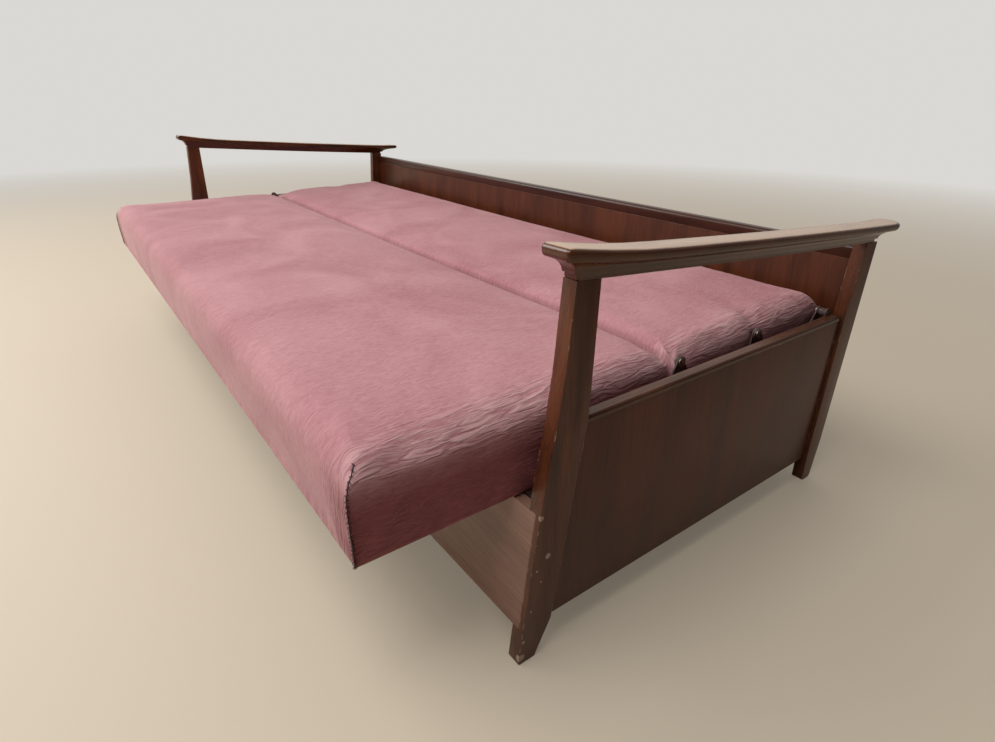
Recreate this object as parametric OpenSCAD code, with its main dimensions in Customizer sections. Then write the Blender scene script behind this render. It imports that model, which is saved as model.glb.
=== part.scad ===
// Folding sofa bed, shown opened flat as a bed.
// X runs along the sofa, the front is -Y, Z is up, and the floor is Z = 0.
// The origin is on the floor, midway along the sofa and near the middle of the box.

/* [End frames] */
// Length over the outer faces of the posts
frame_l = 1960; // [1800:5:2100]
// Thickness of a post, along the sofa
post_t = 22; // [18:1:30]
// Front corner of the front foot, ahead of the origin
foot_reach = 330; // [310:1:350]
// Rake of the front posts, in degrees
rake = 6.77; // [4:0.1:8]
// Width of the front foot at the floor
foot_w = 31; // [24:1:38]
// Width of the front post at the bottom of the box
post_low_w = 50; // [44:1:56]
// Width of the front post at the top of the box
post_mid_w = 52; // [48:1:60]
// Width of both posts under the armrest
post_top_w = 37; // [32:1:42]
// Hollow of the front post's front edge above the box
post_bow = 5; // [0:0.5:8]
// Front edge of the rear post, behind the origin
rear_post_y = 413; // [400:1:425]
// Width of the rear post at the top of the box
rear_mid_w = 44; // [38:1:50]
// Width of the rear foot at the floor
rear_foot_w = 28; // [22:1:36]
// Radius of the foot's bottom edges
foot_r = 4; // [2:1:6]

/* [Armrests] */
// Underside of the armrest over the front post's front edge
arm_z = 541; // [500:1:580]
// Slope of the armrest, in degrees down to the rear
arm_slope = 4; // [2:0.1:5]
// Height of the armrest's section
arm_h = 30; // [24:1:36]
// Overhang of the armrest's top past each face of the post
arm_lip = 12; // [8:1:14]
// Length of the armrest's lip ahead of the front post
arm_nose = 25; // [15:1:40]
// Length of the armrest behind the rear post
arm_tail = 74; // [50:1:80]
// Lift of the armrest's front end
arm_lift = 9; // [0:1:14]
// Where the armrest's front end starts to lift, ahead of the origin
arm_flare = 128; // [100:1:160]
// Height of the plain band along the armrest's foot
arm_band = 5; // [4:1:8]
// Height of the armrest's round lip
arm_lip_h = 12; // [10:1:14]

/* [Box] */
// Bottom of the box above the floor
box_z = 57; // [45:1:80]
// Top of the side panels above the floor
side_top = 361; // [350:1:362]
// Thickness of the side panels' board
side_t = 16; // [12:1:18]
// Height and depth of the band along the side panel's edge
band_h = 8; // [6:1:10]
// How far the band stands proud of the side panel
band_proud = 1.5; // [1:0.5:3]
// Radius of the side panel's rear top corner
corner_r = 16; // [12:1:24]
// Thickness of the front panel
front_t = 16; // [12:1:18]
// Gap between the front panel and the cloth under the seat
front_gap = 1; // [1:0.5:6]
// Edge of the post left showing beside the front panel
front_lap = 9; // [6:1:12]
// Thickness of the back panel
back_t = 11; // [8:1:12]
// Thickness of the box floor
floor_t = 6; // [4:1:8]
// Height of the bearers under the box floor
bearer_h = 22; // [18:1:26]
// Width of a bearer
bearer_w = 45; // [35:1:60]
// Number of bearers
bearers = 3; // [2:1:5]
// Leg of a corner block
block_leg = 40; // [30:1:50]
// Diameter of the dowels between panels and posts
dowel_d = 8; // [6:1:10]
// Depth of a dowel in each piece
dowel_in = 12; // [10:1:16]

/* [Back rail] */
// Front face of the back rail, behind the rear post's front edge
rail_in = 30; // [28:1:33]
// Depth of the back rail
rail_d = 30; // [24:1:34]
// Height of the back rail
rail_h = 24; // [18:1:30]
// Top of the back rail above the floor
rail_top = 479; // [474:1:481]

/* [Runners] */
// Height of the runners
runner_h = 22; // [18:1:26]
// Width of the ledge under the back cushion
ledge_w = 90; // [80:1:100]
// Height of the ledge
ledge_h = 22; // [18:1:26]
// Depth of the rail behind the front panel
front_rail_d = 22; // [16:1:30]
// Height of the rail behind the front panel
front_rail_h = 60; // [40:1:80]

/* [Cushions] */
// Underside of the seat frame above the floor
seat_z = 245; // [243:1:247]
// Underside of the back frame above the floor
back_z = 272; // [268:1:276]
// Top of both cushions at their seam
pad_top = 374; // [370:1:376]
// Room for the linkage between a cushion's end and the side panel
pad_room = 22; // [20:0.5:30]
// Seam between the cushions, ahead of the origin
seam = 4; // [0:1:10]
// Depth of the seat cushion, front to seam
seat_d = 527; // [500:1:560]
// Room between the back cushion's rear edge and the back rail
back_room = 33; // [30:1:40]
// Gap between the cushions at the seam
seam_gap = 2; // [1:0.5:4]
// Rise of the cushions' middle over their edges
crown = 12; // [4:1:18]
// Swell of the cushions' sides
swell = 6; // [2:1:8]
// Rounding of the cushions' outer top edges
pad_r = 32; // [24:1:40]
// Rounding of the cushions' edges at the seam
seam_r = 14; // [12:1:16]
// Rounding of the back cushion's lower rear edge
heel_r = 38; // [36:1:44]
// Rounding of the cushions' upright corners
corner_pad_r = 12; // [10:1:20]

/* [Cushion frames] */
// Width of the frames' rails
bar_w = 26; // [20:1:32]
// Height of the seat frame's rails
seat_bar_h = 38; // [30:1:44]
// Height of the back frame's rails
back_bar_h = 32; // [26:1:38]
// Padding between a frame and the cushion's side
wrap = 13; // [12:1:18]
// Number of cross rails in each frame
crossbars = 3; // [2:1:5]
// Width of a webbing strap
strap_w = 50; // [40:1:60]
// Thickness of a webbing strap
strap_t = 2; // [1:0.5:3]
// Number of straps across each frame
straps = 14; // [8:1:18]
// Thickness of the dust cloths
cloth_t = 1; // [0.5:0.5:2]

/* [Linkage] */
// Distance between the bolts of a plate on the seat
bolt_pitch = 68; // [50:1:90]
// Height of the three pivots above the floor, with the bed flat
pivot_z = 364; // [363:0.5:366]
// Distance of the rear pivot from the back cushion's rear edge
link_in = 18; // [14:1:26]
// Thickness of the side plates
plate_t = 2.5; // [2:0.5:3]
// Thickness of the swing arms
swing_t = 3; // [2:0.5:3]
// Width of the plates and swing arms
strip_w = 18; // [16:1:22]
// Depth of the swing arms' crank below their pivots
crank = 29; // [22:1:32]
// Diameter of the rivets
rivet_d = 8; // [6:0.5:9]
// Diameter of the rivets' heads
head_d = 15; // [12:1:17]
// Thickness of the rivets' heads
head_t = 1.3; // [1:0.1:1.4]
// Diameter of the bolts through the plates
bolt_d = 6; // [5:1:8]
// Length of the hooks that hold the seat down
hook_l = 60; // [40:1:80]
// Reach of a hook under the runner
hook_reach = 22; // [15:1:30]
// Diameter of the screws
screw_d = 4; // [3:0.5:5]

/* [Fits] */
// Gap at sliding and seated faces
gap = 0.3; // [0.2:0.05:0.4]
// Radial clearance of rivets, bolts, screws and dowels
fit = 0.05; // [0.02:0.01:0.1]
// Side clearance between plates and swing arms
play = 0.3; // [0.2:0.05:0.35]

/* [Hidden] */

frame_half = frame_l / 2;
inner_x = frame_half - post_t;
post_x = frame_half - post_t / 2;
drop = tan(arm_slope);
lean = tan(rake);
wood = "#4a2b1e";
veneer = "#3b241c";
raw_wood = "#b08d5f";
cloth = "#a5747a";
jute = "#8d7a55";
steel = "#8f8f8c";

// Top edge of the front panel, below the seat's dust cloth
front_top = seat_z - cloth_t - front_gap;
// Front edge of the front post at height z: straight along the box, hollow above it
bow_above = 25;
bow_z = front_top + bow_above;
function front_edge(z) = -foot_reach + z * lean
    + (z > bow_z ? post_bow * sin(180 * (z - bow_z) / (arm_z - bow_z)) : 0);
// Underside and top of the armrest along y
arm_start = front_edge(arm_z);
arm_sag = 2;
sag_behind = 25;
arm_end = rear_post_y + rear_mid_w + sag_behind;
// Rear edge of the rear post's head, where the armrest's underside ends
arm_heel = rear_post_y + rear_mid_w + 2;
function arm_under(y) = arm_z - drop * (y - arm_start)
    - arm_sag * sin(180 * (y - arm_start) / (arm_end - arm_start));
arm_front = arm_start - arm_nose;
arm_rear = rear_post_y + rear_mid_w + arm_tail;
tail_lift = 5;
function arm_rise(y) = y < -arm_flare
    ? arm_lift * pow((-arm_flare - y) / (-arm_flare - arm_front), 2)
    : y > arm_end ? tail_lift * (y - arm_end) / (arm_rear - arm_end) : 0;

// Places shared by the box and what moves in it
front_post_rear = front_edge(side_top) + post_mid_w;
rail_y = rear_post_y + rail_in;
panel_y = rail_y + 1;
side_x = inner_x;
pad_l = inner_x - pad_room;
runner_top = seat_z - gap;
ledge_top = back_z - gap;
rail_under = rail_top - rail_h;
floor_z = box_z + 1 + bearer_h;

// Places of the three pivots: seam, middle and rear, all at pivot_z in the flat bed
seam_y = -seam;
back_rear = rail_y - back_room;
rear_y = back_rear - link_in;
link_l = rear_y - seam_y;
middle_y = seam_y + link_l / 2;
back_plate_x = pad_l + gap;
swing_x = back_plate_x + plate_t + play;
swing_out = swing_x + swing_t;
head_out = swing_out + play;

seat_front = seam_y - seat_d;
seat_rear = seam_y - seam_gap / 2;
back_front = seam_y + seam_gap / 2;
frame_x = pad_l - wrap;
seat_frame_y0 = seat_front + wrap;
seat_frame_y1 = seat_rear - wrap;
back_frame_y0 = back_front + wrap;
back_frame_y1 = back_rear - heel_r - swell;
runner_x = frame_x - bar_w + 1;

// One half of the sofa's paired pieces is a mirror image of the other
module right() {
    children();
}

module left() {
    mirror([1, 0, 0]) children();
}

// Side outline in the (y, z) plane, made into a board from x0 towards +X
module board(x0, thick) {
    translate([x0, 0, 0]) rotate([90, 0, 90]) linear_extrude(thick) children();
}

// Quarter arc of a corner, from angle a0 to a0 + 90
function arc(c, r, a0, steps = 6) =
    [for (i = [0:steps]) c + r * [cos(a0 + 90 * i / steps), sin(a0 + 90 * i / steps)]];

// Front post

// Glue line between a post's head and the armrest
seat_in = 0.1;
bow_steps = 8;
module front_post() {
    top_y = arm_start + post_top_w;
    low_y = front_edge(box_z) + post_low_w;
    foot_y = -foot_reach + foot_w;
    edge = [for (i = [bow_steps:-1:0]) let (z = bow_z + (arm_z - bow_z) * i / bow_steps)
        [front_edge(z), z]];
    outline = concat(
        arc([-foot_reach + foot_r + foot_r * lean, foot_r], foot_r, 180, 4),
        arc([foot_y - foot_r, foot_r], foot_r, 270, 4),
        [[low_y, box_z], [front_post_rear, side_top], [top_y, arm_under(top_y) - seat_in],
         [arm_start, arm_z - seat_in]],
        [for (i = [1:bow_steps]) edge[i]]);
    color(wood) difference() {
        board(inner_x, post_t) polygon(outline);
        translate([inner_x - 1, 0, 0]) front_slab(post_t - front_lap + 1, gap);
        dowel_pair(front_post_rear, dowel_d / 2 + fit);
    }
}

// Slab along the rake of the front panel, from x = 0, with its joint clearance
module front_slab(len, clear) {
    z0 = box_z - clear;
    z1 = front_top + clear;
    depth = front_t / cos(rake) + clear;
    board(0, len) polygon([
        [front_edge(z0) - clear * 10, z0], [front_edge(z0) + depth, z0],
        [front_edge(z1) + depth, z1], [front_edge(z1) - clear * 10, z1]]);
}

// Rear post: its foot is set in a little on both sides, and tapers from above the box's bottom

foot_in = 4;
taper_above = 30;
module rear_post() {
    y = rear_post_y;
    head_y = arm_heel;
    head_front = head_y - post_top_w;
    foot_front = y + foot_in;
    outline = concat(
        arc([foot_front + foot_r, foot_r], foot_r, 180, 4),
        arc([foot_front + rear_foot_w - foot_r, foot_r], foot_r, 270, 4),
        [[y + rear_mid_w - foot_in, box_z + taper_above], [y + rear_mid_w, side_top],
         [head_y, arm_under(head_y) - seat_in], [head_front, arm_under(head_front) - seat_in],
         [y, side_top], [y, box_z]]);
    color(wood) difference() {
        board(inner_x, post_t) polygon(outline);
        dowel_pair(rear_post_y, dowel_d / 2 + fit);
    }
}

// Dowels between a side panel and a post whose edge is at y

dowel_z = [box_z + (side_top - box_z) * 0.15, side_top - (side_top - box_z) * 0.2];
module dowel_pair(y, r) {
    for (z = dowel_z) {
        edge_y = y > 0 ? y : low_edge(z);
        translate([side_x + side_t / 2, edge_y + dowel_in, z]) rotate([90, 0, 0])
            cylinder(r = r, h = 2 * dowel_in, $fn = 32);
    }
}

// Rear edge of the front post between the bottom and the top of the box
function low_edge(z) = let (y0 = front_edge(box_z) + post_low_w)
    y0 + (front_post_rear - y0) * (z - box_z) / (side_top - box_z);

module panel_dowels() {
    color(raw_wood) for (side = [0, 1]) mirror([side, 0, 0]) {
        dowel_pair(front_post_rear, dowel_d / 2);
        dowel_pair(rear_post_y, dowel_d / 2);
    }
}

// Side panel and the rounded band along its top and rear edges

module side_outline(inset) {
    y1 = rear_post_y - inset;
    z1 = side_top - inset;
    r = corner_r - inset;
    polygon(concat(
        [[low_edge(box_z), box_z]],
        [[y1, box_z]],
        arc([y1 - r, z1 - r], r, 0, 8),
        [[low_edge(z1), z1]]));
}

module side_panel() {
    color(veneer) difference() {
        board(side_x, side_t) side_outline(band_h);
        dowel_pair(front_post_rear, dowel_d / 2 + fit);
        dowel_pair(rear_post_y, dowel_d / 2 + fit);
        bracket_holes(screw_d + 2 * fit);
    }
}

// Section of the band, across the panel and away from its edge, with a round outer shoulder
module band_section() {
    w = side_t + band_proud;
    r = band_h * 0.6;
    polygon(concat([[0, 0], [w, 0]], arc([w - r, band_h - r], r, 0), [[0, band_h]]));
}

module edge_band() {
    y1 = rear_post_y - corner_r;
    z1 = side_top - corner_r;
    z0 = side_top - band_h;
    start = low_edge(z0) - 1;
    color(wood) difference() {
        translate([side_x, 0, 0]) union() {
            translate([0, start, z0]) rotate([90, 0, 0]) mirror([0, 0, 1])
                linear_extrude(y1 - start) band_section();
            translate([0, y1, z1]) rotate([90, 0, 90]) rotate_extrude(angle = 90, $fn = 64)
                translate([corner_r - band_h, 0]) mirror([1, -1]) band_section();
            translate([0, rear_post_y - band_h, box_z]) linear_extrude(z1 - box_z)
                band_section();
        }
        board(side_x - 1, side_t + band_proud + 2) polygon([
            [low_edge(z0 - 1), z0 - 1], [low_edge(side_top + 1), side_top + 1],
            [start - 2, side_top + 1], [start - 2, z0 - 1]]);
        dowel_pair(rear_post_y, dowel_d / 2 + fit);
    }
}

// Armrest: a flat board whose moulding runs along both sides and returns round the two ends

arm_half = post_t / 2;
cove_z = arm_band + 0.8;
cove_h = arm_h - arm_lip_h - cove_z;
// The moulding from the underside up: (out past the post's face, up from the post's head)
arm_moulding = concat(
    [[-0.4, 0], [0, arm_band * 0.4], [0, arm_band], [1.4, cove_z]],
    [for (i = [1:5]) let (a = 90 * i / 5)
        [1.4 + (arm_lip - 2.8) * (1 - cos(a)), cove_z + cove_h * sin(a)]],
    [[arm_lip - 0.5, arm_h - arm_lip_h + 1.2], [arm_lip, arm_h - arm_lip_h + 4],
     [arm_lip, arm_h - 4.5], [arm_lip - 0.8, arm_h - 2], [arm_lip - 2.8, arm_h - 0.4],
     [arm_lip - 7, arm_h + 0.3], [arm_lip - 16, arm_h + 0.7]]);

// Corners of the armrest in plan: both front ones, the outer and the inner rear one
nose_r = 5;
tail_r = 34;
tail_inner_r = 10;
flank_steps = 14;
// One side of the moulding's outline from front to rear, w from the armrest's middle
function arm_flank(w, y0, y1, r0, r1) = concat(
    [for (i = [0:4]) let (a = 90 * i / 4) [w - r0 + r0 * sin(a), y0 + r0 * (1 - cos(a))]],
    [for (i = [1:flank_steps - 1]) [w, y0 + r0 + (y1 - r1 - y0 - r0) * i / flank_steps]],
    [for (i = [0:7]) let (a = 90 * i / 7) [w - r1 + r1 * cos(a), y1 - r1 + r1 * sin(a)]]);

// Outline of the moulding where it stands `out` past the post's face, at height h
function arm_outline(out, h) = let (
        w = arm_half + out,
        share = out / arm_lip,
        y0 = arm_start - arm_nose * share,
        y1 = arm_heel + (arm_rear - arm_heel) * share,
        k = w / (arm_half + arm_lip),
        outer = arm_flank(w, y0, y1, nose_r * k, tail_r * k),
        inner = arm_flank(w, y0, y1, nose_r * k, tail_inner_r * k))
    [for (p = concat(outer, [for (i = [len(inner) - 1:-1:0]) [-inner[i][0], inner[i][1]]]))
        [post_x + p[0], p[1], arm_under(p[1]) + h * (1 + arm_rise(p[1]) / arm_h)]];

module armrest() {
    color(wood) skin([for (i = [len(arm_moulding) - 1:-1:0])
        arm_outline(arm_moulding[i][0], arm_moulding[i][1])]);
}

// Solid skin over a stack of rings, from the top down. Both ends are closed with strips
// between the points i and n - 1 - i, which face each other
module skin(rings) {
    n = len(rings[0]);
    m = len(rings);
    last = (m - 1) * n;
    faces = concat(
        [for (j = [0:m - 2], i = [0:n - 1]) [j * n + i, j * n + (i + 1) % n, (j + 1) * n + i]],
        [for (j = [0:m - 2], i = [0:n - 1])
            [j * n + (i + 1) % n, (j + 1) * n + (i + 1) % n, (j + 1) * n + i]],
        [for (i = [0:n / 2 - 2]) [i + 1, i, n - 1 - i]],
        [for (i = [0:n / 2 - 2]) [i + 1, n - 1 - i, n - 2 - i]],
        [for (i = [0:n / 2 - 2]) [last + i, last + i + 1, last + n - 1 - i]],
        [for (i = [0:n / 2 - 2]) [last + i + 1, last + n - 2 - i, last + n - 1 - i]]);
    polyhedron(points = [for (r = rings) each r], faces = faces);
}

// Box panels and rails

module front_panel() {
    len = 2 * (frame_half - front_lap - gap);
    depth = front_t / cos(rake);
    color(veneer) board(-len / 2, len) polygon([
        [front_edge(box_z), box_z], [front_edge(box_z) + depth, box_z],
        [front_edge(front_top) + depth, front_top], [front_edge(front_top), front_top]]);
}

// Inner face of the front panel at height z
function front_inner(z) = front_edge(z) + front_t / cos(rake);

module front_rail() {
    top = runner_top - runner_h;
    foot = top - front_rail_h;
    y = front_inner(top) + front_rail_d;
    color(raw_wood) board(-inner_x, 2 * inner_x) polygon([
        [front_inner(foot), foot], [y, foot], [y, top], [front_inner(top), top]]);
}

module back_panel() {
    color("#5a3219") translate([-inner_x, panel_y, box_z])
        cube([2 * inner_x, back_t, rail_under - box_z]);
}

// Moulded rail: round nosing at the front, flat top that falls a little to the rear
module back_rail() {
    r = rail_h * 0.3;
    color(wood) board(-inner_x, 2 * inner_x) polygon(concat(
        [[rail_y + rail_d, rail_under], [rail_y + rail_d, rail_top - 2]],
        arc([rail_y + r, rail_top - r], r, 90),
        [[rail_y, rail_under + 7], [rail_y + 1, rail_under + 4], [rail_y + 1, rail_under]]));
}

module back_ledge() {
    color(raw_wood) translate([-inner_x, panel_y - ledge_w, ledge_top - ledge_h])
        cube([2 * inner_x, ledge_w, ledge_h]);
}

module runner() {
    y0 = front_inner(runner_top) + gap;
    y1 = panel_y - ledge_w - gap;
    color(raw_wood) translate([runner_x, y0, runner_top - runner_h])
        cube([side_x - runner_x, y1 - y0, runner_h]);
}

module box_floor() {
    y0 = front_inner(floor_z + floor_t) + gap;
    color(raw_wood) translate([-side_x + gap, y0, floor_z])
        cube([2 * (side_x - gap), panel_y - gap - y0, floor_t]);
}

module floor_bearers() {
    y0 = front_inner(floor_z) + gap;
    step = 2 * side_x / (bearers + 1);
    color(raw_wood) for (i = [1:bearers])
        translate([-side_x + step * i - bearer_w / 2, y0, floor_z - bearer_h])
            cube([bearer_w, panel_y - y0, bearer_h]);
}

// Triangular blocks glued into the four upright corners of the box
module corner_blocks() {
    z0 = floor_z + floor_t;
    z1 = runner_top - runner_h - front_rail_h;
    color(raw_wood) for (side = [0, 1]) mirror([side, 0, 0]) {
        translate([side_x, panel_y, z0]) linear_extrude(z1 - z0)
            polygon([[0, 0], [-block_leg, 0], [0, -block_leg]]);
        translate([side_x, front_inner(z1) + gap, z0]) linear_extrude(z1 - z0)
            polygon([[0, 0], [0, block_leg], [-block_leg, 0]]);
    }
}

// Linkage: steel plates, swing arms, brackets and rivets, drawn for the +X side

module bar_along_x(y, z, x0, x1, d) {
    translate([x0, y, z]) rotate([0, 90, 0]) cylinder(d = d, h = x1 - x0, $fn = 48);
}

// Flat steel strip with round ends between two points of the (y, z) plane
module strip(a, b, w) {
    v = b - a;
    l = norm(v);
    translate(a) rotate(atan2(v[1], v[0])) union() {
        translate([0, -w / 2]) square([l, w]);
        circle(d = w, $fn = 48);
        translate([l, 0]) circle(d = w, $fn = 48);
    }
}

bracket_holes_y = [rear_y - strip_w * 1.7, rear_y - strip_w * 0.3];
bracket_hole_z = side_top - strip_w * 2.5;
bracket_screw_x = side_x + side_t * 0.62;
module bracket_holes(d) {
    for (y = bracket_holes_y)
        bar_along_x(y, bracket_hole_z, side_x - 2 * plate_t, bracket_screw_x + 2, d);
}

module arm_bracket() {
    color(steel) difference() {
        union() {
            board(side_x - plate_t, plate_t) union() {
                strip([rear_y, pivot_z], [rear_y, bracket_hole_z], strip_w);
                strip([bracket_holes_y[0], bracket_hole_z], [rear_y, bracket_hole_z], strip_w);
            }
            bar_along_x(rear_y, pivot_z, head_out, side_x - plate_t, head_d);
        }
        bar_along_x(rear_y, pivot_z, head_out - 1, side_x + 1, rivet_d + 2 * fit);
        bracket_holes(screw_d + 2 * fit);
    }
}

module bracket_screws() {
    color(steel) for (side = [0, 1]) mirror([side, 0, 0]) for (y = bracket_holes_y) {
        bar_along_x(y, bracket_hole_z, side_x - plate_t - screw_d / 2, side_x - plate_t,
            screw_d * 2);
        bar_along_x(y, bracket_hole_z, side_x - plate_t, bracket_screw_x, screw_d);
    }
}

module swing_arm() {
    low_z = pivot_z - crank;
    bends = [[middle_y + strip_w, low_z], [rear_y - strip_w, low_z]];
    color(steel) board(swing_x, swing_t) difference() {
        union() {
            strip([middle_y, pivot_z], bends[0], strip_w);
            strip(bends[0], bends[1], strip_w);
            strip(bends[1], [rear_y, pivot_z], strip_w);
        }
        for (y = [middle_y, rear_y]) translate([y, pivot_z]) circle(d = rivet_d + 2 * fit, $fn = 48);
    }
}

// Rivet from inside to outside, with its two heads
module rivet(y, x0, x1) {
    bar_along_x(y, pivot_z, x0 - head_t, x0, head_d);
    bar_along_x(y, pivot_z, x0, x1, rivet_d);
}

module rear_rivets() {
    color(steel) for (side = [0, 1]) mirror([side, 0, 0])
        rivet(rear_y, swing_x - play, side_x);
}

module middle_rivets() {
    color(steel) for (side = [0, 1]) mirror([side, 0, 0]) {
        bar_along_x(middle_y, pivot_z, back_plate_x, swing_out + play, rivet_d);
        bar_along_x(middle_y, pivot_z, swing_out + play, swing_out + play + head_t, head_d);
    }
}

module seam_rivets() {
    color(steel) for (side = [0, 1]) mirror([side, 0, 0]) {
        out = swing_x + plate_t + play;
        bar_along_x(seam_y, pivot_z, back_plate_x, out, rivet_d);
        bar_along_x(seam_y, pivot_z, out, out + head_t, head_d);
    }
}

// Heights of the plates' lower arms, on the frames' end rails
back_bolt_z = back_z + back_bar_h / 2;
seat_bolt_z = seat_z + seat_bar_h / 2;
back_bolt_y = [back_frame_y0 + bar_w + bolt_d, middle_y - strip_w / 2,
    middle_y + link_l / 9];
seat_bolt_end = seat_frame_y1 - bar_w - 2 * bolt_d;
seat_bolt_y = [seat_bolt_end - 2 * bolt_pitch, seat_bolt_end - bolt_pitch, seat_bolt_end];

module back_plate() {
    first = back_bolt_y[0];
    last = back_bolt_y[2];
    out = back_plate_x + plate_t;
    color(steel) difference() {
        board(back_plate_x, plate_t) union() {
            strip([first, back_bolt_z], [last, back_bolt_z], strip_w);
            strip([first, back_bolt_z], [seam_y, pivot_z], strip_w);
            strip([back_bolt_y[1], back_bolt_z], [middle_y, pivot_z], strip_w);
        }
        for (y = [seam_y, middle_y])
            bar_along_x(y, pivot_z, back_plate_x - 1, out + 1, rivet_d + 2 * fit);
        for (y = back_bolt_y) {
            bar_along_x(y, back_bolt_z, back_plate_x - 1, out + 1, bolt_d + 2 * fit);
            bar_along_x(y, back_bolt_z, out - head_t, out + 1, 2 * bolt_d + 2 * fit);
        }
    }
}

// The seat's plate lies outside the back's plate, on a washer round each bolt
module seat_plate() {
    first = seat_bolt_y[0];
    last = seat_bolt_y[2];
    out = swing_x + plate_t;
    color(steel) difference() {
        union() {
            board(swing_x, plate_t) union() {
                strip([first, seat_bolt_z], [last, seat_bolt_z], strip_w);
                strip([last, seat_bolt_z], [seam_y, pivot_z], strip_w);
            }
            for (y = seat_bolt_y) bar_along_x(y, seat_bolt_z, back_plate_x, swing_x, head_d);
        }
        bar_along_x(seam_y, pivot_z, swing_x - 1, out + 1, rivet_d + 2 * fit);
        for (y = seat_bolt_y)
            bar_along_x(y, seat_bolt_z, back_plate_x - 1, out + 1, bolt_d + 2 * fit);
    }
}

// Bolts from the plates into the end rails: head under x_out
bolt_in = frame_x - bar_w * 0.8;
module plate_bolts(ys, z, x_out) {
    for (side = [0, 1]) mirror([side, 0, 0]) for (y = ys) {
        bar_along_x(y, z, bolt_in, x_out - head_t, bolt_d);
        bar_along_x(y, z, x_out - head_t, x_out, bolt_d * 2);
    }
}

module back_bolts() {
    color(steel) plate_bolts(back_bolt_y, back_bolt_z, back_plate_x + plate_t);
}

module seat_bolts() {
    color(steel) plate_bolts(seat_bolt_y, seat_bolt_z, swing_x + plate_t + head_t);
}

module bolt_holes(ys, z, d) {
    for (side = [0, 1]) mirror([side, 0, 0]) for (y = ys)
        bar_along_x(y, z, bolt_in - 1, pad_l + 20, d);
}

// Wooden frames inside the cushions: y0 and y1 are the frame's front and rear faces

module long_rails(y0, y1, z, h) {
    for (y = [y0, y1 - bar_w]) translate([-frame_x, y, z]) cube([2 * frame_x, bar_w, h]);
}

module end_rails(y0, y1, z, h) {
    for (x = [-frame_x, frame_x - bar_w])
        translate([x, y0 + bar_w, z]) cube([bar_w, y1 - y0 - 2 * bar_w, h]);
}

module cross_rails(y0, y1, z, h) {
    step = 2 * (frame_x - bar_w) / (crossbars + 1);
    for (i = [1:crossbars])
        translate([-frame_x + bar_w + step * i - bar_w / 2, y0 + bar_w, z])
            cube([bar_w, y1 - y0 - 2 * bar_w, h * 0.85]);
}

// Straps over the frame: the short ones first, the long ones on top of them
module webbing(y0, y1, z) {
    step = 2 * (frame_x - strap_w) / (straps - 1);
    for (i = [0:straps - 1])
        translate([-frame_x + strap_w / 2 + step * i, y0 + cloth_in, z])
            cube([strap_w, y1 - y0 - 2 * cloth_in, strap_t]);
    rows = 3;
    row_step = (y1 - y0) / (rows + 1);
    for (i = [1:rows])
        translate([-frame_x + cloth_in, y0 + row_step * i - strap_w / 2, z + strap_t])
            cube([2 * (frame_x - cloth_in), strap_w, strap_t]);
}

module back_long_rails() {
    color(raw_wood) long_rails(back_frame_y0, back_frame_y1, back_z, back_bar_h);
}

module back_end_rails() {
    color(raw_wood) difference() {
        end_rails(back_frame_y0, back_frame_y1, back_z, back_bar_h);
        bolt_holes(back_bolt_y, back_bolt_z, bolt_d + 2 * fit);
    }
}

module back_cross_rails() {
    color(raw_wood) cross_rails(back_frame_y0, back_frame_y1, back_z, back_bar_h);
}

module back_webbing() {
    color(jute) webbing(back_frame_y0, back_frame_y1, back_z + back_bar_h);
}

// Margin of the cloths and straps inside the frame's outline
cloth_in = bar_w * 0.2;
module back_dust_cloth() {
    color("#2b2624") translate([-frame_x + cloth_in, back_frame_y0 + cloth_in, back_z - cloth_t])
        cube([2 * (frame_x - cloth_in), panel_y - ledge_w - 2 * cloth_in - back_frame_y0, cloth_t]);
}

module seat_long_rails() {
    color(raw_wood) long_rails(seat_frame_y0, seat_frame_y1, seat_z, seat_bar_h);
}

module seat_end_rails() {
    color(raw_wood) difference() {
        end_rails(seat_frame_y0, seat_frame_y1, seat_z, seat_bar_h);
        bolt_holes(seat_bolt_y, seat_bolt_z, bolt_d + 2 * fit);
        for (side = [0, 1]) mirror([side, 0, 0]) for (y = hook_screw_y)
            bar_along_x(y, hook_screw_z, hook_x - 1, hook_screw_x + 1, screw_d + 2 * fit);
    }
}

module seat_cross_rails() {
    color(raw_wood) cross_rails(seat_frame_y0, seat_frame_y1, seat_z, seat_bar_h);
}

module seat_webbing() {
    color(jute) webbing(seat_frame_y0, seat_frame_y1, seat_z + seat_bar_h);
}

module seat_dust_cloth() {
    half = hook_x - 2 * (plate_t + cloth_in / 2);
    color("#2b2624") translate([-half, seat_frame_y0 + cloth_in, seat_z - cloth_t])
        cube([2 * half, seat_frame_y1 - seat_frame_y0 - 2 * cloth_in, cloth_t]);
}

// Steel hooks on the end rails' inner faces, reaching under the runners
hook_x = frame_x - bar_w;
hook_y = seat_frame_y1 - bar_w - hook_l;
hook_screw_y = [hook_y + hook_l * 0.2, hook_y + hook_l * 0.6];
hook_screw_z = seat_z + seat_bar_h * 0.3;
hook_top = seat_z + seat_bar_h * 0.6;
hook_screw_x = hook_x + bar_w * 0.6;
module seat_hooks() {
    foot = runner_top - runner_h - gap - plate_t;
    color(steel) for (side = [0, 1]) mirror([side, 0, 0]) difference() {
        translate([hook_x - plate_t, hook_y, foot]) union() {
            cube([plate_t, hook_l, hook_top - foot]);
            cube([hook_reach, hook_l, plate_t]);
        }
        for (y = hook_screw_y)
            bar_along_x(y, hook_screw_z, hook_x - plate_t - 1, hook_x + 1, screw_d + 2 * fit);
    }
}

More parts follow.
